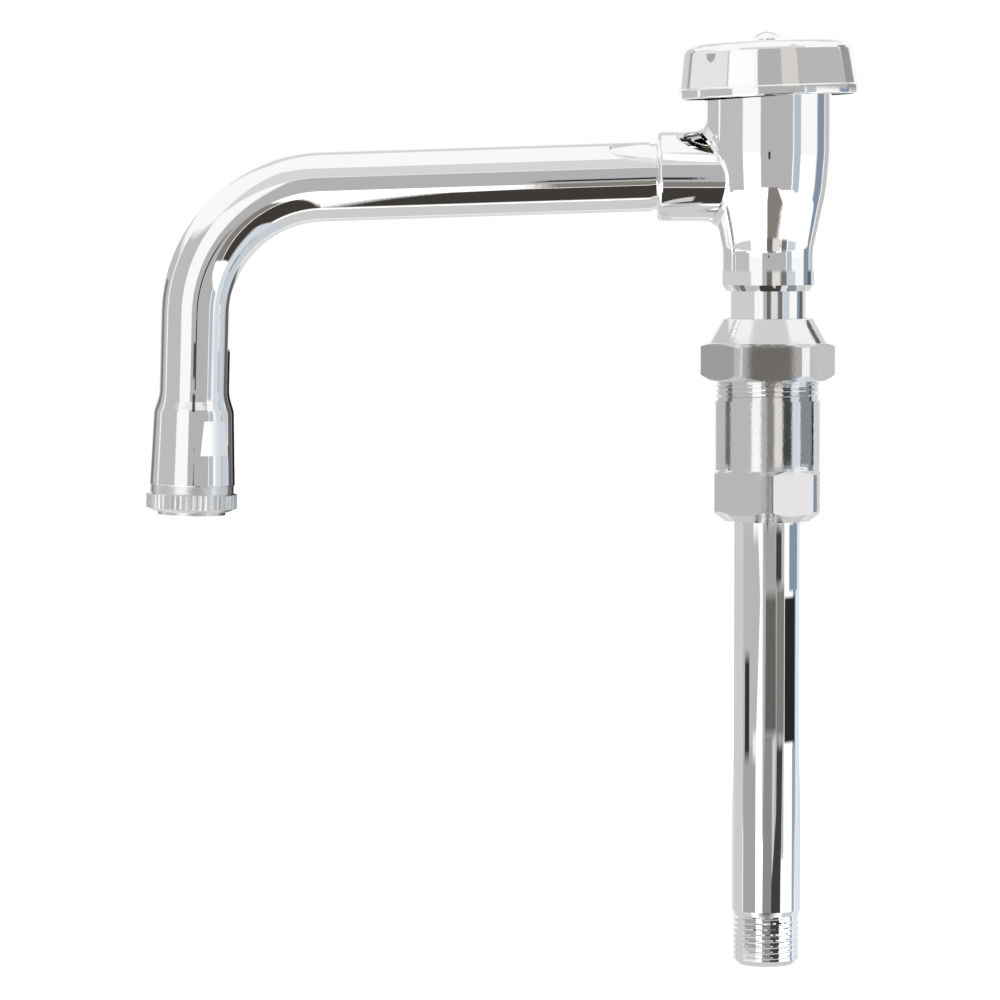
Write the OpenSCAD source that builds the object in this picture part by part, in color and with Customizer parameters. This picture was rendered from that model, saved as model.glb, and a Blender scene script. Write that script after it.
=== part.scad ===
// Chrome swivel spout with an atmospheric vacuum breaker.
// Water rises through the riser pipe and the swivel stem, lifts the float in the
// breaker body, and leaves by the bent spout tube.  When the supply stops the
// float drops, and air enters under the cap so that nothing is sucked back.
// The origin is on the riser's axis, at the hand-tight plane of its inlet thread.
// The riser stands along +Z, and the spout reaches out towards -X.

/* [Riser pipe] */
// Outside diameter of the riser pipe
riser_d = 17.15; // [15:0.05:20]
// Bore of the riser pipe
riser_bore = 12.5; // [8:0.1:13]
// Length from the pipe's lower end to the underside of the swivel body
riser_len = 111.5; // [60:0.5:300]
// Length of the inlet thread on the pipe's lower end
inlet_thread_len = 12.6; // [8:0.1:18]
// Mean diameter of the threads at both ends of the pipe
pipe_thread_d = 16.2; // [14:0.05:16.8]
// How far a fitting goes up the inlet thread by hand
hand_tight = 6.1; // [3:0.1:7]
// Length of the run-out cone between the inlet thread and the plain pipe
inlet_runout = 1.2; // [0.4:0.1:3]
// Chamfer on the pipe's lower end
pipe_chamfer = 1.4; // [0.3:0.1:1.8]

/* [Swivel body] */
// Across the flats of the swivel body's hexagon
body_hex_af = 26.2; // [24:0.1:32]
// Height of the swivel body's hexagon
body_hex_h = 13.1; // [8:0.1:20]
// Circle that clips the corners of the swivel body's hexagon
body_hex_clip = 28.6; // [27:0.1:34]
// Height of the cone turned under the swivel body's hexagon
body_hex_cone_h = 2.6; // [0.5:0.1:4]
// Diameter of the foot of that cone
body_hex_foot_d = 21.6; // [19:0.1:25.8]
// Turn of the swivel body as it stopped when it was tightened
body_turn = -3; // [-30:1:30]
// Height of the chamfer on top of the swivel body's hexagon
body_hex_chamfer = 1.3; // [0.3:0.1:2.5]
// Wall of the barrel round the swivel bore, to the mean diameter of its thread
barrel_wall = 3.65; // [2.5:0.05:6]
// Step from the barrel's thread out to its plain part
barrel_step = 0.5; // [0.2:0.05:1]
// Height of the barrel, with its thread
barrel_len = 30.3; // [26:0.1:45]
// Height of the barrel's plain part
barrel_plain = 17; // [10:0.1:19]
// Depth that the riser pipe screws into the swivel body
riser_socket = 11; // [6:0.5:12]
// Waterway between the riser socket and the swivel bore
waterway_d = 11.5; // [8:0.1:12.2]
// Bore in which the stem turns
swivel_bore = 18.1; // [16:0.05:19]
// Depth of the swivel bore below the top of the barrel
swivel_bore_depth = 25; // [18:0.5:26]

/* [Swivel nut] */
// Wall of the swivel nut at the middle of its flats
nut_wall = 2.4; // [1.2:0.05:5]
// How much the circle that clips the nut's corners is wider than the flats
nut_clip_over = 3.4; // [1:0.1:4.5]
// Height of the swivel nut
nut_h = 15.5; // [12:0.1:22]
// Thickness of the nut above its inner shoulder
nut_lid = 3.2; // [2:0.1:5]
// Height of the nut's cone
nut_cone_h = 6.1; // [3:0.1:7]
// Width of the nut's rim round the neck, at the top of the cone
nut_rim = 1.4; // [1:0.1:2]
// Height of the chamfer under the nut's hexagon
nut_chamfer = 1.4; // [0.3:0.1:2]
// Height of the chamfer on top of it, round the foot of the cone
nut_top_chamfer = 0.9; // [0.3:0.1:2]
// Turn of the nut as it stopped when it was tightened
nut_turn = 1.5; // [-30:0.5:30]

/* [Swivel stem] */
// Step from the swivel bore out to the stem's neck
neck_step = 0.5; // [0:0.05:1]
// Length of neck that shows between the nut and the breaker body
neck_show = 6.8; // [3:0.1:20]
// Bore of the stem
stem_bore = 11; // [8:0.1:11.6]
// Radial gap between the stem's flange and the nut
flange_gap = 1.1; // [0.5:0.1:1.5]
// Radial gap between the two washers and the nut
washer_gap = 0.4; // [0.2:0.1:1]
// Thickness of the stem's flange
flange_t = 1.9; // [1:0.1:3]
// Radial clearance of the stem in the swivel bore
stem_fit = 0.05; // [0.02:0.01:0.1]
// Radial clearance of the neck in the nut
neck_gap = 0.35; // [0.3:0.05:0.6]
// End play of the flange between its washers, at each face
end_play = 0.1; // [0.05:0.05:0.2]
// Thickness of the wear washer under the flange
wear_t = 0.9; // [0.5:0.1:1.5]
// Thickness of the thrust washer over the flange
thrust_t = 1; // [0.5:0.1:1.5]
// Step from the stem's neck in to the thread that holds the breaker body
stem_step = 0.85; // [0.65:0.05:1.6]
// Length of the thread that holds the breaker body
stem_thread_len = 9; // [6:0.1:9.5]
// Thickness of the O-rings on the stem
o_ring_t = 2.2; // [1.5:0.1:2.4]
// Distance between the two O-rings
o_ring_pitch = 7; // [5:0.5:9]

/* [Breaker body] */
// Height of the breaker body
body_h = 50.6; // [48:0.1:60]
// Diameter of the breaker body's foot
body_low_d = 23.3; // [22.5:0.1:26]
// Diameter of the breaker body's top
body_top_d = 31.8; // [30.5:0.1:34]
// Height at which the foot begins to swell
swell_low = 9.6; // [8:0.1:14]
// Height of the bell's shoulder
swell_mid = 24.4; // [22:0.1:26]
// Diameter of the bell's shoulder
swell_mid_d = 30; // [29:0.1:31]
// Height at which the bell reaches its full diameter
swell_high = 34; // [31:0.1:38]
// Rounding where the foot begins to swell
foot_round = 12; // [4:1:20]
// Rounding of the bell's shoulder, below and above
swell_round = 40; // [20:1:50]
// Height of the branch's axis above the foot
branch_h = 28.5; // [26:0.1:30]
// Diameter of the branch collar
collar_d = 22.5; // [20:0.1:24]
// Distance from the riser's axis to the end of the collar
collar_reach = 28; // [24:0.1:36]
// Rounding of the collar's end
collar_round = 1.5; // [0.3:0.1:2]
// Radius of the cast fillet between the bell and the collar
branch_fillet = 3; // [1.5:0.1:3.5]
// Diameter of the float chamber
chamber_d = 22; // [20:0.1:23]
// Height of the float chamber's floor above the foot
chamber_h = 18.6; // [17:0.1:20]
// Height of the raised seat on the chamber's floor
seat_h = 1.5; // [0.8:0.1:2]
// Outside diameter of the raised seat
seat_d = 15; // [13:0.1:15.5]
// Diameter of the waterway in the branch
branch_bore = 12.6; // [9:0.1:13]

/* [Air inlet] */
// Diameter of the bonnet
bonnet_d = 26; // [24:0.1:27]
// Thickness of the bonnet
bonnet_t = 4.5; // [3.5:0.1:6]
// Thickness of the bonnet's gasket
gasket_t = 1; // [0.5:0.1:1.5]
// Diameter of the lip that the float closes on
lip_d = 17; // [16:0.1:18]
// Wall of that lip
lip_wall = 1.2; // [0.8:0.1:1.4]
// Height of that lip
lip_h = 3; // [2:0.1:4]
// Diameter of the air ports
port_d = 3.2; // [2:0.1:3.4]
// Number of air ports
ports = 6; // [4:1:7]
// Diameter of the float's guide pin
pin_d = 4; // [3:0.1:4.4]
// Radial clearance of the guide pin and of the float's wings
float_fit = 0.08; // [0.04:0.01:0.1]
// How far the float lifts
float_lift = 3.4; // [2:0.1:4]
// Thickness of the float's two washers
float_washer_t = 1.2; // [0.8:0.1:2]

/* [Cap] */
// Diameter of the cap's lip
cap_lip_d = 45.6; // [42:0.1:50]
// Diameter of the cap's wall at its foot
cap_low_d = 44.8; // [41:0.1:49]
// Diameter of the cap's wall at its shoulder
cap_top_d = 42; // [39:0.1:46]
// Height of the cap's rim over all
cap_h = 13.4; // [11:0.1:16]
// Height of the cap's lip
cap_lip_h = 2.3; // [1:0.1:3]
// Rise of the cap's crown above its shoulder
cap_crown = 1; // [0.4:0.1:2]
// Rounding of the cap's shoulder
cap_round = 3; // [1.5:0.1:4]
// Thickness of the cap
cap_wall = 1.3; // [0.8:0.1:2]
// How far the cap reaches down over the top of the breaker body
cap_overlap = 2.4; // [1:0.1:6]
// Lean of the cap and its post, the right side higher
cap_tilt = 2.2; // [0:0.1:3]
// Diameter of the cap's post
post_d = 8; // [7.2:0.1:9]
// Diameter of the screw's head
screw_head_d = 7.4; // [6:0.1:9]
// Height of the screw's head
screw_head_h = 1.9; // [1.2:0.1:3]
// Diameter of the screw
screw_d = 4; // [3:0.1:5]
// Length of the screw under its head
screw_len = 6.5; // [4:0.1:7]

/* [Spout] */
// Outside diameter of the spout tube
tube_d = 17.5; // [16:0.1:19]
// Wall of the spout tube
tube_wall = 1.2; // [0.8:0.1:1.6]
// Straight length from the collar to the bend
arm_len = 83.4; // [40:0.1:200]
// Radius of the bend, on the tube's axis
bend_r = 32.3; // [28:0.1:50]
// Straight length from the bend to the outlet ring
leg_len = 42.9; // [30:0.1:80]
// Fall of the arm towards the bend, in degrees
arm_fall = 1.8; // [0:0.1:4]
// Outward lean of the leg, in degrees
leg_lean = 1.5; // [0:0.1:4]
// Diameter of the nipple that joins the tube to the collar
nipple_d = 16.6; // [15.6:0.1:17]
// Length of nipple that shows between the collar and the tube
nipple_show = 1.3; // [0.5:0.1:3]
// Length of the nipple in the collar, and in the tube
nipple_grip = 8; // [5:0.1:9]

/* [Outlet] */
// Length of the outlet fitting
fitting_len = 25; // [20:0.1:30]
// Height at which the fitting's flare ends
flare_h = 18.4; // [16.5:0.1:19]
// Diameter of the fitting at the end of its flare
flare_d = 20.1; // [19.6:0.1:21]
// Diameter of the fitting's lower end
fitting_low_d = 21.4; // [20.5:0.1:23]
// Height of the wrench flats
flat_h = 8.6; // [6:0.1:12]
// Width of the wrench flats
flat_w = 5.4; // [3:0.1:9]
// Height of the flats' lower edge above the outlet ring
flat_low = 7.7; // [4.5:0.1:8.5]
// Turn of the flats away from square to the spout's plane
flat_turn = 36; // [0:1:45]
// Diameter of the outlet's thread, in the fitting
outlet_thread_d = 17.6; // [16.5:0.1:18]
// Depth of that thread
outlet_thread_len = 6.5; // [4:0.1:7]
// Height of the plain band at the top of the outlet ring
band_h = 2; // [1:0.1:4]
// Diameter of that band
band_d = 20.9; // [20:0.1:22]
// Height of the ring's knurled band
knurl_h = 4; // [2:0.1:8]
// Diameter over the knurled band
knurl_d = 22.7; // [22:0.1:25]
// Number of ribs on the knurled band
ribs = 52; // [40:1:60]
// Depth of the grooves between the ribs
rib_depth = 0.35; // [0.2:0.05:0.45]
// Height of the lip under the knurled band
ring_lip_h = 0.8; // [0.4:0.1:2]
// Diameter of that lip
ring_lip_d = 17; // [15.8:0.1:18]
// Bore of the outlet ring
ring_bore = 14.4; // [12:0.1:15]
// Thickness of the outlet's washer
outlet_washer_t = 1.2; // [0.6:0.1:1.8]
// Thickness of the stream disc
disc_t = 1.6; // [1:0.1:2.5]
// Diameter of the holes in the stream disc
disc_hole_d = 1.4; // [0.8:0.1:1.8]

/* [Hidden] */
$fn = 72;

// Colours
chrome = [0.82, 0.83, 0.84];
satin = [0.72, 0.73, 0.74];
brass = [0.78, 0.66, 0.38];
rubber = [0.12, 0.12, 0.12];
plastic = [0.9, 0.9, 0.86];

// Heights on the riser's axis, from the bottom up
pipe_end_z = -hand_tight;
hex_z = pipe_end_z + riser_len;
barrel_z = hex_z + body_hex_h;
barrel_top_z = barrel_z + barrel_len;
flange_z = barrel_top_z + wear_t + end_play;
thrust_z = flange_z + flange_t + end_play;
nut_shoulder_z = thrust_z + thrust_t;
nut_top_z = nut_shoulder_z + nut_lid;
nut_low_z = nut_top_z - nut_h;
foot_z = nut_top_z + neck_show;
branch_z = foot_z + branch_h;
body_top_z = foot_z + body_h;

// Swivel
barrel_thread_d = swivel_bore + 2 * barrel_wall;
barrel_d = barrel_thread_d + 2 * barrel_step;
wear_bore_gap = 0.3;
neck_d = swivel_bore + 2 * neck_step;
neck_hole_d = neck_d + 2 * neck_gap;
stem_thread_d = neck_d - 2 * stem_step;
nut_af = barrel_thread_d + 2 * nut_wall;
flange_d = barrel_thread_d - 2 * flange_gap;
washer_d = barrel_thread_d - 2 * washer_gap;
spigot_d = swivel_bore - 2 * stem_fit;
spigot_lift = 1.5;
spigot_z = barrel_top_z - swivel_bore_depth + spigot_lift;
groove_w = o_ring_t + 0.8;
first_groove = 5;
o_ring_low_z = spigot_z + first_groove;

// Edges: small roundings, the bell's foot, how far a chamfer cuts into the flats of a hexagon,
// how far the foot of the nut's cone lies inside the flats, and how deep the edges of the cast
// fillet lie under the surfaces that it joins
edge_round = 0.5;
foot_chamfer = [1, 1.5];
flat_in = 0.2;
nut_ledge = 0.5;
fillet_sink = 0.03;

// How far pieces of one solid run into each other
joined = 0.5;

// Float and air inlet
float_gap = 0.05;
float_over = 0.3;
seat_z = foot_z + chamber_h + seat_h;
float_z = seat_z + float_gap;
gasket_z = body_top_z - bonnet_t - gasket_t;
lip_z = gasket_z + gasket_t - lip_h;
float_top_z = lip_z - float_lift - float_gap;
float_d = lip_d + 2 * float_over;
hub_wall = 1;
port_ring = (lip_d / 2 - lip_wall + pin_d / 2 + hub_wall) / 2;
port_gap = 0.3;
hub_d = 2 * port_ring - port_d - 2 * port_gap;
hub_back = 0.4;
pin_grip = 5;
pin_len = float_lift + pin_grip;
pin_room = 1.6;
bonnet_hex_h = 2.5;
bonnet_hex_af = 19;
drum_wall = 1.6;
drum_round = 0.8;
drum_in = 0.4;
drum_foot_over = 0.2;
taper_h = 6;
taper_round = 4;
wing_t = 1.2;
wing_len = 5;

// Cap, in a frame at the root of its post
post_z = body_top_z + bonnet_hex_h;
cap_low = body_top_z - cap_overlap - post_z;
cap_shoulder = cap_low + cap_h;
cap_top = cap_shoulder + cap_crown;
boss_h = 1.5;
cap_fall = 0.3;
screw_gap = 0.2;
slot_w = 1;
slot_h = 0.8;
post_h = cap_top - cap_wall - boss_h;

// Spout's axis in the X-Z plane
arm_start = [-collar_reach, branch_z];
bend_start = arm_start + arm_len * [-cos(arm_fall), -sin(arm_fall)];
bend_centre = bend_start + bend_r * [sin(arm_fall), -cos(arm_fall)];
bend_end = bend_centre + bend_r * [-cos(leg_lean), sin(leg_lean)];
outlet = bend_end + leg_len * [-sin(leg_lean), -cos(leg_lean)];
tube_bore = tube_d - 2 * tube_wall;
blend_h = 2.5;
blend_round = 10;
flare_round = 5;
half_turn = (90 - arm_fall - leg_lean) / 2;

// Outlet ring, below the end of its fitting
knurl_chamfer = 0.3;
ring_foot_h = 0.6;
ring_foot_step = 0.8;
knurl_z = -band_h - knurl_h;
ring_foot_z = knurl_z - ring_foot_h;
ring_low_z = ring_foot_z - ring_lip_h;
disc_z = ring_low_z + disc_t;
ring_spigot_h = outlet_thread_len - outlet_washer_t;
disc_ledge = 1;

// A unit vector
function unit(v) = v / norm(v);

// Points of the arc of radius rad that rounds corner p between a and b
function arc_points(a, p, b, rad, steps = 8) =
    let (u = unit(a - p), v = unit(b - p),
         half = acos(u * v) / 2,
         c = p + unit(u + v) * rad / sin(half),
         from = p + u * rad / tan(half) - c,
         to = p + v * rad / tan(half) - c,
         a0 = atan2(from.y, from.x),
         turn = atan2(from.x * to.y - from.y * to.x, from * to))
    [for (i = [0:steps]) c + rad * [cos(a0 + turn * i / steps), sin(a0 + turn * i / steps)]];

// An outline from corners [x, y, radius]; a radius of 0 leaves the corner sharp
function outline(corners) =
    let (n = len(corners), at = function (i) [corners[i % n].x, corners[i % n].y])
    [for (i = [0:n - 1])
        let (rad = corners[i].z)
        each rad > 0 ? arc_points(at(i + n - 1), at(i), at(i + 1), rad) : [at(i)]];

// A solid of revolution about Z from outline corners [radius, height, rounding]
module turned(corners) {
    rotate_extrude() polygon(outline(corners));
}

// A plain ring or tube that stands on z = 0
module ring(d_out, d_in, h) {
    difference() {
        cylinder(d = d_out, h = h);
        translate([0, 0, -1]) cylinder(d = d_in, h = h + 2);
    }
}

// A torus lying flat
module torus(r, t) {
    rotate_extrude() translate([r, 0]) circle(d = t);
}

// A hexagonal prism with its corners clipped by a circle, and coned below and above
module hexagon(af, h, clip, foot_d, foot_h, top_h) {
    intersection() {
        cylinder(d = af / cos(30), h = h, $fn = 6);
        turned([[0, 0, 0], [foot_d / 2, 0, 0], [clip / 2, foot_h, 0],
                [clip / 2, h - top_h, 0], [af / 2 - flat_in, h, 0], [0, h, 0]]);
    }
}

// Frames for the pieces off the riser's axis
module at_arm() {
    translate([arm_start.x, 0, arm_start.y]) rotate([0, -90 - arm_fall, 0]) children();
}

module at_outlet() {
    translate([outlet.x, 0, outlet.y]) rotate([0, leg_lean, 0]) children();
}

module at_post() {
    translate([0, 0, post_z]) rotate([0, -cap_tilt, 0]) children();
}

// Riser pipe with its threaded lower end
module riser_pipe() {
    thread_r = pipe_thread_d / 2;
    runout_z = inlet_thread_len + inlet_runout;
    pipe_len = riser_len + riser_socket;
    color(chrome) translate([0, 0, pipe_end_z]) difference() {
        turned([[0, 0, 0], [thread_r - pipe_chamfer, 0, 0], [thread_r, pipe_chamfer, 0],
                [thread_r, inlet_thread_len, 0], [riser_d / 2, runout_z, 0],
                [riser_d / 2, riser_len, 0], [thread_r, riser_len, 0], [thread_r, pipe_len, 0],
                [0, pipe_len, 0]]);
        translate([0, 0, -1]) cylinder(d = riser_bore, h = pipe_len + 2);
    }
}

// Hexagon and barrel in one piece, with the bore in which the stem turns
module swivel_body() {
    color(chrome) difference() {
        union() {
            translate([0, 0, hex_z]) rotate(30 + body_turn)
                hexagon(body_hex_af, body_hex_h, body_hex_clip,
                        body_hex_foot_d, body_hex_cone_h, body_hex_chamfer);
            translate([0, 0, hex_z + riser_socket]) {
                cylinder(d = barrel_d, h = barrel_z - hex_z - riser_socket + barrel_plain);
                cylinder(d = barrel_thread_d, h = barrel_top_z - hex_z - riser_socket);
            }
        }
        translate([0, 0, hex_z - 1]) cylinder(d = pipe_thread_d, h = riser_socket + 1);
        translate([0, 0, hex_z]) cylinder(d = waterway_d, h = body_hex_h + barrel_len);
        translate([0, 0, barrel_top_z - swivel_bore_depth])
            cylinder(d = swivel_bore, h = swivel_bore_depth + 1);
    }
}

module wear_washer() {
    color(plastic) translate([0, 0, barrel_top_z]) ring(washer_d, swivel_bore + 2 * wear_bore_gap, wear_t);
}

module thrust_washer() {
    color(plastic) translate([0, 0, thrust_z]) ring(washer_d, neck_hole_d, thrust_t);
}

// Nut with a conical top, which holds the stem's flange down
module swivel_nut() {
    cone_z = nut_h - nut_cone_h;
    rim_r = neck_hole_d / 2 + nut_rim;
    foot_d = nut_af - 2 * flat_in;
    cone_r = nut_af / 2 - nut_ledge;
    color(chrome) translate([0, 0, nut_low_z]) difference() {
        union() {
            rotate(nut_turn)
                hexagon(nut_af, cone_z, nut_af + nut_clip_over,
                        foot_d, nut_chamfer, nut_top_chamfer);
            turned([[0, 0, 0], [rim_r, 0, 0], [cone_r, cone_z, 0], [rim_r, nut_h, edge_round],
                    [0, nut_h, 0]]);
        }
        translate([0, 0, -1]) cylinder(d = barrel_thread_d, h = nut_h - nut_lid + 1);
        cylinder(d = neck_hole_d, h = nut_h + 1);
    }
}

// Tubular stem: spigot with two O-ring grooves, flange, neck and upper thread
module swivel_stem() {
    color(chrome) difference() {
        union() {
            translate([0, 0, spigot_z]) cylinder(d = spigot_d, h = thrust_z - spigot_z);
            translate([0, 0, flange_z]) {
                cylinder(d = flange_d, h = flange_t);
                cylinder(d = neck_d, h = foot_z - flange_z);
                cylinder(d = stem_thread_d, h = foot_z - flange_z + stem_thread_len);
            }
        }
        translate([0, 0, spigot_z - 1])
            cylinder(d = stem_bore, h = foot_z + stem_thread_len - spigot_z + 2);
        for (i = [0:1])
            translate([0, 0, o_ring_low_z + i * o_ring_pitch - groove_w / 2])
                ring(spigot_d + 2, spigot_d - 2 * o_ring_t, groove_w);
    }
}

module stem_o_ring(i) {
    color(rubber) translate([0, 0, o_ring_low_z + i * o_ring_pitch])
        torus(spigot_d / 2 - o_ring_t / 2, o_ring_t);
}

module lower_o_ring() {
    stem_o_ring(0);
}

module upper_o_ring() {
    stem_o_ring(1);
}

// Corners of the bell's section, from the middle of its foot, on z = 0
bell_corners = [[0, 0, 0], [body_low_d / 2 - foot_chamfer.x, 0, 0],
                [body_low_d / 2, foot_chamfer.y, 0], [body_low_d / 2, swell_low, foot_round],
                [swell_mid_d / 2, swell_mid, swell_round],
                [body_top_d / 2, swell_high, swell_round],
                [body_top_d / 2, body_h, edge_round], [0, body_h, 0]];

// Radius of the bell at a height above its foot
bell_side = [for (p = outline(bell_corners)) if (p.x > 0) [p.y, p.x]];
function bell_r(h) = lookup(h, bell_side);

// Section of the cast fillet at an angle round the branch: the arc that a ball leaves as it
// rolls in the corner between the bell and the collar, closed by a point inside both
function fillet_section(angle, steps = 6) =
    let (across = [0, sin(angle), cos(angle)],
         off = branch_fillet - fillet_sink,
         ball = collar_d / 2 + off,
         h = branch_h + ball * across.z,
         slope = bell_r(h + 0.5) - bell_r(h - 0.5),
         out = bell_r(h) + off * sqrt(1 + slope * slope),
         y = ball * across.y,
         centre = [-sqrt(out * out - y * y), y, h],
         to_bell = unit([-centre.x / out, -y / out, slope]),
         turn = acos(-across * to_bell))
    concat([for (i = [0:steps])
                centre + branch_fillet / sin(turn)
                    * (sin(turn * i / steps) * to_bell - sin(turn * (1 - i / steps)) * across)],
           [centre + 2 * branch_fillet * unit(to_bell - across)]);

// Ring of those sections round the branch
module branch_fillet_ring(count = 60) {
    sections = [for (i = [0:count - 1]) fillet_section(i * 360 / count)];
    n = len(sections[0]);
    polyhedron([for (section = sections) each section],
               [for (i = [0:count - 1], j = [0:n - 1])
                   let (a = i * n, b = (i + 1) % count * n, k = (j + 1) % n)
                   each [[a + j, b + j, b + k], [a + j, b + k, a + k]]]);
}

// Cast body: bell, branch collar, stem socket, raised seat and float chamber
module breaker_body() {
    color(chrome) difference() {
        union() {
            translate([0, 0, foot_z]) {
                turned(bell_corners);
                branch_fillet_ring();
            }
            translate([0, 0, branch_z]) rotate([0, -90, 0])
                turned([[0, 0, 0], [collar_d / 2, 0, 0], [collar_d / 2, collar_reach, collar_round],
                        [0, collar_reach, 0]]);
        }
        translate([0, 0, foot_z - 1]) cylinder(d = stem_thread_d, h = stem_thread_len + 1);
        translate([0, 0, foot_z]) cylinder(d = stem_bore, h = seat_z - foot_z + 1);
        difference() {
            translate([0, 0, foot_z + chamber_h]) cylinder(d = chamber_d, h = body_h);
            translate([0, 0, foot_z]) cylinder(d = seat_d, h = chamber_h + seat_h);
        }
        translate([0, 0, gasket_z]) cylinder(d = bonnet_d, h = body_h);
        at_arm() mirror([0, 0, 1]) cylinder(d = branch_bore, h = collar_reach);
        at_arm() translate([0, 0, -nipple_grip]) cylinder(d = nipple_d, h = nipple_grip + 2);
    }
}

module bonnet_gasket() {
    color(rubber) translate([0, 0, gasket_z]) ring(bonnet_d, chamber_d, gasket_t);
}

// Screwed-in bonnet: air ports, the lip that the float closes on, and the cap's post
module air_bonnet() {
    base_z = gasket_z + gasket_t;
    color(brass) difference() {
        union() {
            translate([0, 0, base_z]) cylinder(d = bonnet_d, h = bonnet_t);
            translate([0, 0, lip_z]) ring(lip_d, lip_d - 2 * lip_wall, lip_h + joined);
            translate([0, 0, lip_z + hub_back]) cylinder(d = hub_d, h = lip_h);
            translate([0, 0, body_top_z - joined])
                hexagon(bonnet_hex_af, bonnet_hex_h + joined, bonnet_hex_af + 2,
                        bonnet_hex_af + 2, joined / 2, edge_round);
            at_post() translate([0, 0, -1]) cylinder(d = post_d, h = post_h + 1);
        }
        for (i = [0:ports - 1])
            rotate(i * 360 / ports) translate([port_ring, 0, base_z - 1])
                cylinder(d = port_d, h = bonnet_t + bonnet_hex_h + 2);
        translate([0, 0, lip_z - 1])
            cylinder(d = pin_d + 2 * float_fit, h = pin_len + pin_room);
        at_post() translate([0, 0, post_h - screw_len]) cylinder(d = screw_d, h = screw_len + 1);
    }
}

// Float: hollow plastic drum, guide pin above and three wings in the water seat below
module float() {
    drum_low = float_z + float_washer_t;
    drum_top = float_top_z - float_washer_t;
    drum_h = drum_top - drum_low;
    drum_r = float_d / 2 - drum_in;
    foot_r = seat_d / 2 + drum_foot_over;
    wing_r = stem_bore / 2 - float_fit;
    wing_z = seat_z - seat_h - wing_len;
    wing_h = drum_low + joined - wing_z;
    pin_z = drum_top - joined;
    color(plastic) {
        difference() {
            translate([0, 0, drum_low])
                turned([[0, 0, 0], [foot_r, 0, drum_round], [drum_r, taper_h, taper_round],
                        [drum_r, drum_h, drum_round], [0, drum_h, 0]]);
            translate([0, 0, drum_low + drum_wall])
                cylinder(r = foot_r - drum_wall, h = drum_h - 2 * drum_wall);
        }
        translate([0, 0, pin_z]) cylinder(d = pin_d, h = lip_z + pin_len - float_lift - pin_z);
        translate([0, 0, wing_z]) intersection() {
            for (i = [0:2])
                rotate(i * 120) translate([0, -wing_t / 2, 0]) cube([wing_r + 1, wing_t, wing_h]);
            cylinder(r = wing_r, h = wing_h);
        }
    }
}

module float_water_washer() {
    color(rubber) translate([0, 0, float_z]) ring(seat_d + 0.4, stem_bore, float_washer_t);
}

module float_air_washer() {
    color(rubber) translate([0, 0, float_top_z - float_washer_t])
        ring(float_d, pin_d, float_washer_t);
}

// Cap: a spun hood with a rolled lip, which keeps splashes out of the air inlet
module breaker_cap() {
    wall_z = cap_low + cap_lip_h;
    color(chrome) at_post() difference() {
        turned([[0, cap_low, 0], [cap_lip_d / 2, cap_low, edge_round],
                [cap_lip_d / 2, wall_z, edge_round], [cap_low_d / 2, wall_z + cap_fall, 0],
                [cap_top_d / 2, cap_shoulder, cap_round], [0, cap_top, 0]]);
        difference() {
            turned([[0, cap_low - 1, 0], [cap_low_d / 2 - cap_wall, cap_low - 1, 0],
                    [cap_low_d / 2 - cap_wall, wall_z, 0],
                    [cap_top_d / 2 - cap_wall, cap_shoulder - cap_wall, cap_round - cap_wall],
                    [0, cap_top - cap_wall, 0]]);
            translate([0, 0, post_h]) cylinder(d = post_d, h = cap_top - post_h);
        }
        translate([0, 0, post_h - 1]) cylinder(d = screw_d, h = cap_top - post_h + 2);
    }
}

// Slotted screw with a domed head
module cap_screw() {
    head_r = screw_head_d / 2;
    dome_r = (head_r * head_r + screw_head_h * screw_head_h) / (2 * screw_head_h);
    color(chrome) at_post() difference() {
        union() {
            translate([0, 0, cap_top]) intersection() {
                translate([0, 0, screw_head_h - dome_r]) sphere(r = dome_r);
                cylinder(r = head_r, h = screw_head_h + 1);
            }
            translate([0, 0, cap_top + screw_gap - screw_len])
                cylinder(d = screw_d, h = screw_len);
        }
        translate([-head_r - 1, -slot_w / 2, cap_top + screw_head_h - slot_h])
            cube([2 * head_r + 2, slot_w, slot_h + 1]);
    }
}

// Nipple that joins the tube to the collar
module spout_nipple() {
    color(chrome) at_arm() difference() {
        union() {
            translate([0, 0, -nipple_grip]) cylinder(d = nipple_d, h = nipple_grip + nipple_show);
            cylinder(d = tube_bore, h = nipple_show + nipple_grip);
        }
        translate([0, 0, -nipple_grip - 1])
            cylinder(d = branch_bore, h = 2 * nipple_grip + nipple_show + 2);
    }
}

// A bent rod about the bend's centre, symmetric about +X: the arm runs off towards -Y and
// the leg towards +Y, and the bend is the part of a torus between them
module bent_rod(d, extra = 0) {
    reach = 2 * bend_r;
    rotate(-half_turn) translate([bend_r, 0, 0]) rotate([90, 0, 0])
        cylinder(d = d, h = arm_len - nipple_show + extra);
    rotate(half_turn) translate([bend_r, 0, 0]) rotate([-90, 0, 0])
        cylinder(d = d, h = leg_len - fitting_len + extra);
    intersection() {
        rotate(half_turn) torus(bend_r, d);
        rotate(-half_turn) translate([0, 0, -d]) cube([reach, reach, 2 * d]);
        rotate(half_turn) translate([0, -reach, -d]) cube([reach, reach, 2 * d]);
    }
}

// Bent spout tube, from the nipple to the outlet fitting
module spout_tube() {
    color(chrome) translate([bend_centre.x, 0, bend_centre.y]) rotate([90, 0, 0])
        rotate(90 + arm_fall + half_turn) difference() {
            bent_rod(tube_d);
            bent_rod(tube_bore, 1);
        }
}

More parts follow.
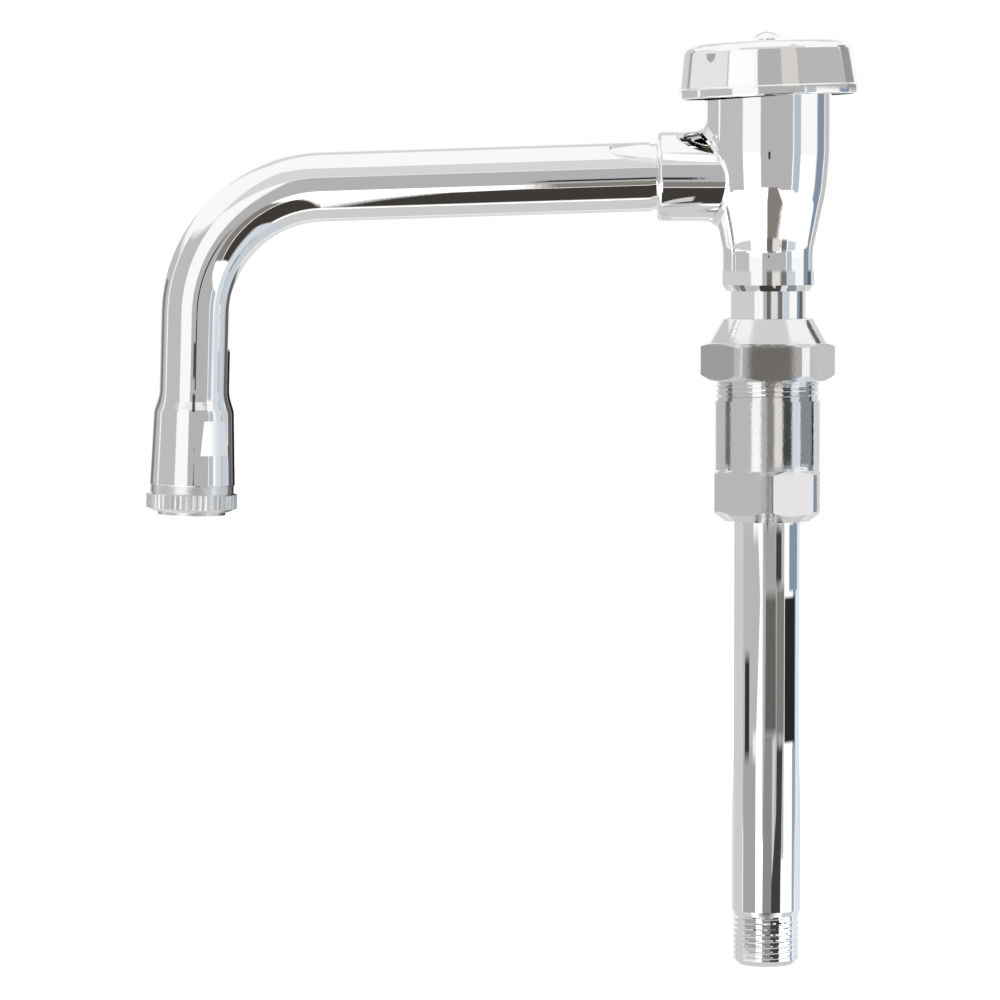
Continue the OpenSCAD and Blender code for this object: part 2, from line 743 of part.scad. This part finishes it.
// Flared outlet fitting with two wrench flats, brazed flush to the tube
module outlet_fitting() {
    grip = nipple_grip;
    flat_x = sqrt(pow(flare_d / 2, 2) - pow(flat_w / 2, 2));
    cut_depth = flare_d / 4;
    color(chrome) at_outlet() difference() {
        union() {
            turned([[0, 0, 0], [fitting_low_d / 2, 0, edge_round / 2],
                    [flare_d / 2, flare_h, flare_round],
                    [tube_d / 2, fitting_len - blend_h, blend_round],
                    [tube_d / 2, fitting_len, 0], [0, fitting_len, 0]]);
            translate([0, 0, fitting_len - 1]) cylinder(d = tube_bore, h = grip + 1);
        }
        translate([0, 0, -1]) cylinder(d = branch_bore, h = fitting_len + grip + 2);
        translate([0, 0, -1]) cylinder(d = outlet_thread_d, h = outlet_thread_len + 1);
        for (side = [0:1])
            rotate(flat_turn - 90 + side * 180)
                translate([flat_x, -fitting_low_d / 2, flat_low])
                    cube([cut_depth, fitting_low_d, flat_h]);
    }
}

module outlet_washer() {
    color(rubber) at_outlet() translate([0, 0, outlet_thread_len - outlet_washer_t])
        ring(outlet_thread_d, ring_bore, outlet_washer_t);
}

// Knurled ring that screws into the fitting and holds the stream disc
module outlet_ring() {
    color(satin) at_outlet() difference() {
        union() {
            translate([0, 0, -band_h]) cylinder(d = band_d, h = band_h);
            cylinder(d = outlet_thread_d, h = ring_spigot_h);
            intersection() {
                translate([0, 0, ring_foot_z]) linear_extrude(knurl_h + ring_foot_h) difference() {
                    circle(d = knurl_d);
                    for (i = [0:ribs - 1])
                        rotate(i * 360 / ribs) translate([knurl_d / 2 + flat_in, 0])
                            circle(r = rib_depth + flat_in, $fn = 6);
                }
                turned([[0, ring_foot_z, 0], [ring_lip_d / 2 + ring_foot_step, ring_foot_z, 0],
                        [knurl_d / 2, knurl_z + knurl_chamfer, 0],
                        [knurl_d / 2, -band_h - knurl_chamfer, 0],
                        [band_d / 2, -band_h, 0], [0, -band_h, 0]]);
            }
            translate([0, 0, ring_low_z]) cylinder(d = ring_lip_d, h = ring_lip_h + joined);
        }
        translate([0, 0, disc_z]) cylinder(d = ring_bore, h = ring_spigot_h - disc_z + 1);
        translate([0, 0, ring_low_z - 1])
            cylinder(d = ring_bore - 2 * disc_ledge, h = disc_z - ring_low_z + 2);
    }
}

// Perforated disc that straightens the stream
module stream_disc() {
    pitch = ring_bore / 6;
    color(plastic) at_outlet() translate([0, 0, disc_z]) difference() {
        cylinder(d = ring_bore, h = disc_t);
        for (row = [1:2], i = [0:row * 6 - 1])
            rotate(i * 60 / row) translate([row * pitch, 0, -1])
                cylinder(d = disc_hole_d, h = disc_t + 2);
        translate([0, 0, -1]) cylinder(d = disc_hole_d, h = disc_t + 2);
    }
}

riser_pipe();
swivel_body();
wear_washer();
thrust_washer();
swivel_nut();
swivel_stem();
lower_o_ring();
upper_o_ring();
breaker_body();
bonnet_gasket();
air_bonnet();
float();
float_water_washer();
float_air_washer();
breaker_cap();
cap_screw();
spout_nipple();
spout_tube();
outlet_fitting();
outlet_washer();
outlet_ring();
stream_disc();
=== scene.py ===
import math

import bpy
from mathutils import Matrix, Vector


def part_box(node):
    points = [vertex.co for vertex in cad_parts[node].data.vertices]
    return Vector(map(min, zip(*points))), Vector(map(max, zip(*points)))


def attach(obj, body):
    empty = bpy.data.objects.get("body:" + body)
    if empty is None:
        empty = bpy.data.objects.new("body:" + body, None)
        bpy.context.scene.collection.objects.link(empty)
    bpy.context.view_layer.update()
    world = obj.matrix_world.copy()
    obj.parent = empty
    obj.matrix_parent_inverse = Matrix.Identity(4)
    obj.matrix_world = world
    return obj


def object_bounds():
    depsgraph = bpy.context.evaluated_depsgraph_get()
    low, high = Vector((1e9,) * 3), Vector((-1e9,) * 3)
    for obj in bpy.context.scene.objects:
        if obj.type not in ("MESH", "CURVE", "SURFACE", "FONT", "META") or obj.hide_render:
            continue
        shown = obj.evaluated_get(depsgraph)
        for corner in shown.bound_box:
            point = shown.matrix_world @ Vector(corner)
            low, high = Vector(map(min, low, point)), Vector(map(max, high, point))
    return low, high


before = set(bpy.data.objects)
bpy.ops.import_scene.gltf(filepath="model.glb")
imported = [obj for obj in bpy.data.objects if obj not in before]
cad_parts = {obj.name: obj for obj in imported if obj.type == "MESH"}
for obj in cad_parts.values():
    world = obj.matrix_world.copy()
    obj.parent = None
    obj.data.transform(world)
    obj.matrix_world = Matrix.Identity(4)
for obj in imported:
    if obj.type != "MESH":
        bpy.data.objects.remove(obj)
cad_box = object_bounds()

# The camera of the photograph: where it aims, how far it stands, and how wide it sees there
AIM = Vector((-0.06675, 0, 0.1105))
CAMERA_DISTANCE = 1.3
CAMERA_PITCH = math.radians(3.45)
VIEW_WIDTH = 0.25
SENSOR_WIDTH = 36
FLOOR_DROP = 0.12
FLOOR_GLOW = 0.4
CHROME_SHARE = 0.94


def linear(level):
    """The linear value of a display level from 0 to 255."""
    share = level / 255
    return share / 12.92 if share <= 0.04045 else ((share + 0.055) / 1.055) ** 2.4


def grey(level, warmth=0):
    """A linear grey of a display level. A positive warmth tints it towards beige, a negative one towards blue."""
    return (linear(level + warmth), linear(level), linear(level - warmth), 1)


class Nodes:
    """A short way to write a node tree."""

    def __init__(self, tree):
        self.tree = tree
        tree.nodes.clear()

    def add(self, kind, inputs=(), **settings):
        node = self.tree.nodes.new(kind)
        for name, value in settings.items():
            setattr(node, name, value)
        for name, value in dict(inputs).items():
            if isinstance(value, bpy.types.NodeSocket):
                self.tree.links.new(value, node.inputs[name])
            else:
                node.inputs[name].default_value = value
        return node

    def math(self, operation, a, b=0):
        return self.add("ShaderNodeMath", {0: a, 1: b}, operation=operation).outputs[0]


def new_material(name):
    material = bpy.data.materials.new(name)
    material.use_nodes = True
    return material, Nodes(material.node_tree)


def metal(name, colour, roughness, roughness_spread, bump, scale):
    """A plated metal: its roughness wanders a little, and its surface has a faint fine grain."""
    material, nodes = new_material(name)
    place = nodes.add("ShaderNodeTexCoord").outputs["Object"]
    wander = nodes.add("ShaderNodeTexNoise", {"Vector": place, "Scale": scale / 12, "Detail": 4})
    rough = nodes.add("ShaderNodeMapRange", {
        "Value": wander.outputs["Fac"], "From Min": 0.35, "From Max": 0.65,
        "To Min": roughness, "To Max": roughness + roughness_spread})
    grain = nodes.add("ShaderNodeTexNoise", {"Vector": place, "Scale": scale, "Detail": 3})
    relief = nodes.add("ShaderNodeBump", {
        "Height": grain.outputs["Fac"], "Strength": bump, "Distance": 0.0001})
    shader = nodes.add("ShaderNodeBsdfPrincipled", {
        "Base Color": colour, "Metallic": 1, "Roughness": rough.outputs[0],
        "Normal": relief.outputs[0]})
    nodes.add("ShaderNodeOutputMaterial", {"Surface": shader.outputs[0]})
    return material


def soft(name, colour, roughness):
    """Rubber or plastic with a fine moulded grain."""
    material, nodes = new_material(name)
    place = nodes.add("ShaderNodeTexCoord").outputs["Object"]
    grain = nodes.add("ShaderNodeTexNoise", {"Vector": place, "Scale": 2500, "Detail": 2})
    relief = nodes.add("ShaderNodeBump", {
        "Height": grain.outputs["Fac"], "Strength": 0.2, "Distance": 0.0001})
    shader = nodes.add("ShaderNodeBsdfPrincipled", {
        "Base Color": colour, "Roughness": roughness, "Normal": relief.outputs[0]})
    nodes.add("ShaderNodeOutputMaterial", {"Surface": shader.outputs[0]})
    return material


POLISHED = metal("polished_chrome", grey(248), 0.015, 0.02, 0.02, 900)
MACHINED = metal("machined_chrome", grey(240), 0.06, 0.08, 0.25, 1800)
SATIN = metal("satin_chrome", grey(236), 0.2, 0.1, 0.3, 2500)
BRASS = metal("brass", (0.72, 0.55, 0.28, 1), 0.22, 0.1, 0.3, 2000)
RUBBER = soft("rubber", grey(45), 0.6)
ACETAL = soft("acetal", grey(228, 3), 0.35)

FINISHES = {
    POLISHED: ["riser_pipe", "swivel_stem", "breaker_body", "breaker_cap", "cap_screw",
               "spout_tube", "outlet_fitting", "spout_nipple"],
    MACHINED: ["swivel_body", "swivel_nut"],
    SATIN: ["outlet_ring"],
    BRASS: ["air_bonnet"],
    RUBBER: ["lower_o_ring", "upper_o_ring", "bonnet_gasket", "outlet_washer",
             "float_water_washer", "float_air_washer"],
    ACETAL: ["wear_washer", "thrust_washer", "float", "stream_disc"],
}


def finish_nodes():
    for material, names in FINISHES.items():
        for name in names:
            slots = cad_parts[name].data.materials
            slots.clear()
            slots.append(material)


def seen_directly(nodes):
    """1 for rays from the camera and from mirrors, and 0 for the rays that light the object."""
    path = nodes.add("ShaderNodeLightPath").outputs
    either = nodes.math("MAXIMUM", path["Is Camera Ray"], path["Is Glossy Ray"])
    return nodes.math("MAXIMUM", either, path["Is Transmission Ray"])


def make_world():
    world = bpy.data.worlds.new("studio")
    bpy.context.scene.world = world
    world.use_nodes = True
    nodes = Nodes(world.node_tree)
    strength = nodes.add("ShaderNodeMapRange", {
        "Value": seen_directly(nodes), "To Min": 0.75, "To Max": 1}).outputs[0]
    background = nodes.add("ShaderNodeBackground", {"Color": grey(255), "Strength": strength})
    nodes.add("ShaderNodeOutputWorld", {"Surface": background.outputs[0]})


def make_floor():
    bpy.ops.mesh.primitive_plane_add(size=8, location=(0, 0, cad_box[0].z - FLOOR_DROP))
    floor = bpy.context.object
    floor.name = "floor"
    material, nodes = new_material("pale_floor")
    lit = nodes.add("ShaderNodeBsdfDiffuse", {"Color": grey(245)})
    glow = nodes.add("ShaderNodeEmission", {
        "Color": grey(255), "Strength": nodes.math("MULTIPLY", seen_directly(nodes), FLOOR_GLOW)})
    both = nodes.add("ShaderNodeAddShader", {0: lit.outputs[0], 1: glow.outputs[0]})
    nodes.add("ShaderNodeOutputMaterial", {"Surface": both.outputs[0]})
    floor.data.materials.append(material)


def make_lamp():
    data = bpy.data.lights.new("softbox", "AREA")
    data.size = 1.2
    data.energy = 14
    lamp = bpy.data.objects.new("softbox", data)
    lamp.location = (-0.7, -0.9, 1.5)
    lamp.rotation_euler = (AIM - lamp.location).to_track_quat("-Z", "Y").to_euler()
    lamp.visible_glossy = False
    bpy.context.scene.collection.objects.link(lamp)


def make_camera():
    data = bpy.data.cameras.new("camera")
    data.sensor_width = SENSOR_WIDTH
    data.lens = SENSOR_WIDTH * CAMERA_DISTANCE / VIEW_WIDTH
    camera = bpy.data.objects.new("camera", data)
    back = Vector((0, -math.cos(CAMERA_PITCH), math.sin(CAMERA_PITCH)))
    camera.location = AIM + CAMERA_DISTANCE * back
    camera.rotation_euler = (-back).to_track_quat("-Z", "Y").to_euler()
    bpy.context.scene.collection.objects.link(camera)
    bpy.context.scene.camera = camera


def card_material():
    """A card glows with its own tone as a painted reflection, fades out at its edges, and can't be seen from
    behind.
    """
    material, nodes = new_material("reflection_card")
    tone = nodes.add("ShaderNodeAttribute", attribute_name="tone").outputs["Color"]
    fade = nodes.add("ShaderNodeAttribute", attribute_name="fade").outputs["Fac"]
    front = nodes.math("SUBTRACT", 1, nodes.add("ShaderNodeNewGeometry").outputs["Backfacing"])
    clear = nodes.add("ShaderNodeBsdfTransparent")
    glow = nodes.add("ShaderNodeEmission", {"Color": tone})
    mix = nodes.add("ShaderNodeMixShader", {
        0: nodes.math("MULTIPLY", fade, front), 1: clear.outputs[0], 2: glow.outputs[0]})
    nodes.add("ShaderNodeOutputMaterial", {"Surface": mix.outputs[0]})
    return material


CARD_MATERIAL = card_material()


def finish_card(name, points, fades, faces, level, warmth):
    """A card is seen by mirrors alone and lights nothing, so what the chrome shows of it is painted reflection.
    Its tone is the level that chrome shows it at.
    """
    mesh = bpy.data.meshes.new(name)
    mesh.from_pydata(points, [], faces)
    colour = [share / CHROME_SHARE for share in grey(level, warmth)[:3]] + [1]
    mesh.attributes.new("tone", "FLOAT_COLOR", "POINT").data.foreach_set("color", colour * len(fades))
    mesh.attributes.new("fade", "FLOAT", "POINT").data.foreach_set("value", fades)
    mesh.materials.append(CARD_MATERIAL)
    made = bpy.data.objects.new(name, mesh)
    bpy.context.scene.collection.objects.link(made)
    made.visible_camera = made.visible_diffuse = made.visible_shadow = False


def between(rows, height):
    """The two azimuths of a card at a height, from its rows (height, from, to)."""
    for low, high in zip(rows, rows[1:]):
        if height <= high[0]:
            break
    share = (height - low[0]) / (high[0] - low[0])
    return [low[k] + share * (high[k] - low[k]) for k in (1, 2)]


def card(name, level, place, rows, warmth=0, soft=2, soft_end=0.001):
    """An upright curved card about an axis of the object, which faces inwards and paints a reflection
    band on the chrome. Its rows give mirror azimuths: where a mirror on a cylinder of the place's mirror
    radius looks, with 0 towards the camera and 90 to its right. Its edges fade over soft degrees and soft_end
    metres."""
    low, high = rows[0][0], rows[-1][0]
    heights = sorted({low, low + soft_end, high - soft_end, high, *(row[0] for row in rows[1:-1])})
    width = max(abs(row[2] - row[1]) for row in rows)
    steps = max(2, math.ceil(width / 6))
    edge = min(0.5, soft / width)
    shares = [0] + [edge + (1 - 2 * edge) * i / steps for i in range(steps + 1)] + [1]
    points, fades = [], []
    for height in heights:
        start, end = between(rows, height)
        for share in shares:
            look = math.radians(start + share * (end - start))
            turn = look - math.asin(place.mirror / place.distance * math.sin(look / 2))
            points.append((place.x + place.distance * math.sin(turn),
                           -place.distance * math.cos(turn), height))
            fades.append(0 if height in (low, high) or share in (0, 1) else 1)
    n = len(shares)
    faces = [(a, a + n, a + n + 1, a + 1) for row in range(len(heights) - 1)
             for a in range(row * n, row * n + n - 1)]
    finish_card(name, points, fades, faces, level, warmth)


def flat_card(name, level, height, corners, warmth=0, soft=0.1):
    """A level card that faces up, from its corners, and paints a reflection on the chrome from below. Its edges
    fade over a share of its size.
    """
    middle = [sum(c[k] for c in corners) / len(corners) for k in (0, 1)]
    inner = [[c[k] + (middle[k] - c[k]) * soft for k in (0, 1)] for c in corners]
    points = [(x, y, height) for x, y in corners + inner]
    n = len(corners)
    faces = [(i, (i + 1) % n, n + (i + 1) % n, n + i) for i in range(n)] + [tuple(range(n, 2 * n))]
    finish_card(name, points, [0] * n + [1] * n, faces, level, warmth)


class Place:
    """Where upright cards stand: the axis they go round, how far off, and the mirror's radius."""

    def __init__(self, x, distance, mirror=0.0):
        self.x, self.distance, self.mirror = x, distance, mirror


def straight(low, high, start, end):
    return [(low, start, end), (high, start, end)]


# Glowing cards that only mirrors see and that light nothing, standing for the studio's walls, ceiling and camera
# stand: what the chrome shows of them is painted reflection.
def studio_cards():
    wall_reflections = Place(-0.07, 1.2)
    card("left_wall_reflection", 187, wall_reflections, straight(-0.9, 0.9, -100, -46), soft_end=0.15)
    card("left_rear_wall_reflection", 188, wall_reflections, straight(-0.9, 0.7, -148, -103), soft_end=0.15)
    card("front_wall_reflection", 177, wall_reflections, straight(-0.45, 0.88, -14, 46), soft_end=0.05)
    card("front_right_wall_reflection", 188, wall_reflections, straight(-0.45, 0.7, 46, 61), -8, soft_end=0.1)
    card("right_wall_reflection", 145, wall_reflections, straight(-0.6, 0.5, 94, 119), -16, 4, 0.1)
    card("right_rear_wall_reflection", 190, wall_reflections, straight(-0.6, 0.5, 119, 139), soft_end=0.1)
    card("front_ceiling_reflection", 213, wall_reflections, straight(0.84, 2.5, -50, 62), soft=6, soft_end=0.1)
    card("back_ceiling_reflection", 212, wall_reflections, straight(0.75, 1.9, 140, 220), soft=6, soft_end=0.3)
    stand = Place(0, 1.1)
    card("camera_stand_reflection", 50, stand, straight(0.01, 0.14, -2.6, 1.5), soft=0.5, soft_end=0.02)


# Level glowing cards under the object that only mirrors see: pale, dark and brown painted reflections on the
# chrome's downward faces.
def table_cards():
    height = cad_box[0].z - 0.09
    flat_card("table_reflection", 203, height, [(-0.6, -0.06), (0.6, -0.06), (0.6, 0.25), (-0.6, 0.25)])
    flat_card("table_back_reflection", 218, height, [(-1, 0.24), (1, 0.24), (1, 1.1), (-1, 1.1)])
    flat_card("dark_low_reflection", 58, height, [(-0.12, -0.07), (0.3, -0.07), (0.3, -0.53), (-0.055, -0.53),
                                  (-0.085, -0.45), (-0.105, -0.25)][::-1], 4)
    flat_card("brown_low_reflection", 125, height, [(-0.05, -1.12), (0.3, -1.12), (0.3, -0.53),
                                         (-0.055, -0.53)], 6)


# Glowing cards close round the riser pipe that only its chrome sees: painted reflection bands, light, grey, dark
# and blue-tinted, at each height.
def riser_cards():
    outer = Place(0, 0.03, 0.0086)
    inner = Place(0, 0.0285, 0.0086)
    card("riser_left_edge", 203, outer, straight(-0.012, 0.104, -140, -88))
    card("riser_left_low", 162, outer, [(-0.012, -88, -38), (0.05, -88, -38)], soft_end=0.008)
    card("riser_left_high", 182, outer, [(0.046, -88, -38), (0.085, -88, -24), (0.104, -88, -33)],
         soft_end=0.006)
    card("riser_left_line", 48, inner, straight(0.042, 0.072, -82, -62), 4, soft_end=0.004)
    card("riser_post_low", 138, outer, [(-0.012, -18, 15), (0.03, -14, 17), (0.05, -9, 17)])
    card("riser_post_middle", 98, outer, [(0.048, -9, 30), (0.088, -7, 28)], soft_end=0.004)
    card("riser_post_high", 160, outer, [(0.086, -8, 27), (0.104, -13, 26)], soft_end=0.003)
    card("riser_pale_line", 205, outer, [(0.012, 15, 20), (0.052, 17, 31)], soft_end=0.003)
    card("riser_dark", 62, inner, [(-0.012, 10, 47), (0.012, 14, 48), (0.03, 30, 51),
                                   (0.05, 32, 54)], soft_end=0.004)
    card("riser_shade", 122, outer, straight(0.048, 0.089, 30, 59), 4, soft_end=0.003)
    card("riser_patch", 40, inner, straight(0.0475, 0.0855, 59, 108))
    card("riser_blue_line", 165, outer, straight(-0.01, 0.047, 93, 108), -14)
    card("riser_right", 228, outer, straight(-0.012, 0.104, 110, 142), -8)
    card("riser_dark_high", 62, inner, straight(0.087, 0.104, 27, 48), soft_end=0.003)
    card("riser_blue_high", 147, inner, straight(0.086, 0.104, 77, 121), -15)


# Glowing cards close round the swivel barrel, its hexagon and the nut that only their chrome sees: painted
# reflection bands, the dark, beige and pale ones alike.
def barrel_cards():
    outer = Place(0, 0.03, 0.0132)
    inner = Place(0, 0.0285, 0.0132)
    corner = Place(0, 0.0285, 0.0143)
    face = Place(0, 0.029)
    low, step, high = 0.1035, 0.1178, 0.1395
    card("barrel_left_edge", 188, outer, straight(low, high, -155, -108))
    card("barrel_left_line", 108, outer, straight(step, high, -108, -90))
    card("barrel_left", 188, outer, straight(low, high, -91, -37))
    card("barrel_post", 132, outer, straight(step, high, -5, 11))
    card("barrel_beige", 222, outer, straight(step, high, 11, 30), 4)
    card("barrel_dark", 70, outer, straight(step, high, 30, 52))
    card("barrel_pale", 220, outer, straight(step, high, 52, 72), -7)
    card("barrel_grey", 140, outer, straight(step, high, 72, 110), -6)
    card("barrel_black", 42, inner, straight(step, high, 109, 120))
    card("barrel_right", 212, outer, straight(low, high, 121, 160))
    card("hexagon_line", 122, corner, straight(low, step, 3, 12))
    card("hexagon_pale", 198, corner, straight(low, step, 12, 24))
    card("hexagon_right", 236, face, straight(low, step, 28, 66))
    low, high = 0.139, 0.1497
    card("nut_left", 160, face, straight(low, high, -100, -74))
    card("nut_dark", 108, face, straight(low, high, -9, 15), 3)
    card("nut_grey", 172, face, straight(low, high, 15, 25), 3)
    card("nut_right", 198, face, straight(low, high, 94, 120))


# Glowing cards close round the neck that only its chrome sees: painted reflection bands.
def neck_cards():
    outer = Place(0, 0.03, 0.0105)
    low, high = 0.1505, 0.168
    card("neck_left", 203, outer, straight(low, high, -150, -43))
    card("neck_post", 105, outer, straight(low, high, -7, 7))
    card("neck_beige", 218, outer, straight(low, high, 7, 27), 5)
    card("neck_dark", 115, outer, straight(low, high, 28, 44))
    card("neck_pale", 206, outer, straight(low, high, 44, 68), -6)
    card("neck_black", 98, outer, straight(low, high, 110, 130), -6)
    card("neck_right", 215, outer, straight(low, high, 131, 160))


# Glowing cards close round the outlet leg that only its chrome sees: painted reflection bands, the dark and black
# ones included.
def leg_cards():
    outer = Place(-0.1445, 0.028, 0.0088)
    low, high = 0.09, 0.17
    card("leg_left_edge", 125, outer, straight(low, high, -146, -121), soft=6)
    card("leg_post", 75, outer, straight(0.140, 0.150, 2, 13))
    card("leg_pale", 216, outer, straight(low, high, 66, 90), -7, 6)
    card("leg_blue", 203, outer, straight(low, high, 89, 114), -8, 4)
    card("leg_dark", 100, outer, straight(low, 0.160, 115, 139))
    card("leg_black", 35, outer, straight(low, 0.1475, 138, 178))


# Glowing cards close round the breaker cap that only its chrome sees: painted reflection bands and a small
# painted dark oval.
def cap_cards():
    outer = Place(0, 0.04, 0.0215)
    inner = Place(0, 0.039, 0.0215)
    low, high = 0.2135, 0.237
    card("cap_rear_left", 205, outer, straight(low, high, -155, -132))
    card("cap_left_line", 160, outer, straight(low, high, -132, -125))
    card("cap_left", 227, outer, straight(low, high, -125, -58))
    card("cap_oval", 165, inner, [(0.2225, -87, -86), (0.2235, -94, -79), (0.2255, -96, -77),
                                  (0.2265, -93, -80), (0.2275, -87, -86)], soft_end=0.0003)
    card("cap_white", 253, outer, straight(low, high, -58, -22))
    card("cap_front", 176, outer, straight(low, high, -19, 12))
    card("cap_beige", 206, outer, straight(low, high, 12, 36), 3)
    card("cap_right", 181, outer, straight(low, high, 36, 113), soft=4)
    card("cap_dark", 150, outer, straight(low, high, 113, 138))


def ridge(name, body, radii, heights, pitch, root, crest_width):
    """A thread's helical ridge: its crest radius goes from radii[0] to radii[1] over its height,
    it runs out at both ends, and its root lies under the surface that carries it."""
    steps = 72
    count = round((heights[1] - heights[0]) / pitch * steps)
    points = []
    for i in range(count + 1):
        turn = 2 * math.pi * i / steps
        middle = heights[0] + pitch * i / steps
        share = i / count
        crest = radii[0] + (radii[1] - radii[0]) * share
        crest = root + (crest - root) * min(1, 2 * i / steps, 2 * (count - i) / steps)
        for radius, offset in ((root, -0.48 * pitch), (crest, -crest_width / 2),
                               (crest, crest_width / 2), (root, 0.48 * pitch)):
            points.append((radius * math.cos(turn), radius * math.sin(turn), middle + offset))
    faces = [(4 * i + k, 4 * i + 4 + k, 4 * i + 4 + (k + 1) % 4, 4 * i + (k + 1) % 4)
             for i in range(count) for k in range(4)]
    faces += [(0, 1, 2, 3), tuple(4 * count + k for k in (3, 2, 1, 0))]
    mesh = bpy.data.meshes.new(name)
    mesh.from_pydata(points, [], faces)
    mesh.materials.append(POLISHED)
    made = bpy.data.objects.new(name, mesh)
    bpy.context.scene.collection.objects.link(made)
    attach(made, body)


def make_threads():
    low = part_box("riser_pipe")[0].z
    ridge("inlet_thread_ridge", "supply", (0.0082, 0.0085),
          (low + 0.0012, low + 0.0126), 0.001411, 0.0079, 0.0002)
    nut_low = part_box("swivel_nut")[0].z
    ridge("barrel_thread_ridge", "supply", (0.01305, 0.01305),
          (nut_low - 0.0044, nut_low + 0.0006), 0.0012, 0.0125, 0.0002)


finish_nodes()
make_threads()
make_world()
make_floor()
make_lamp()
studio_cards()
table_cards()
riser_cards()
barrel_cards()
neck_cards()
leg_cards()
cap_cards()
make_camera()
bpy.context.scene.view_settings.view_transform = "Standard"
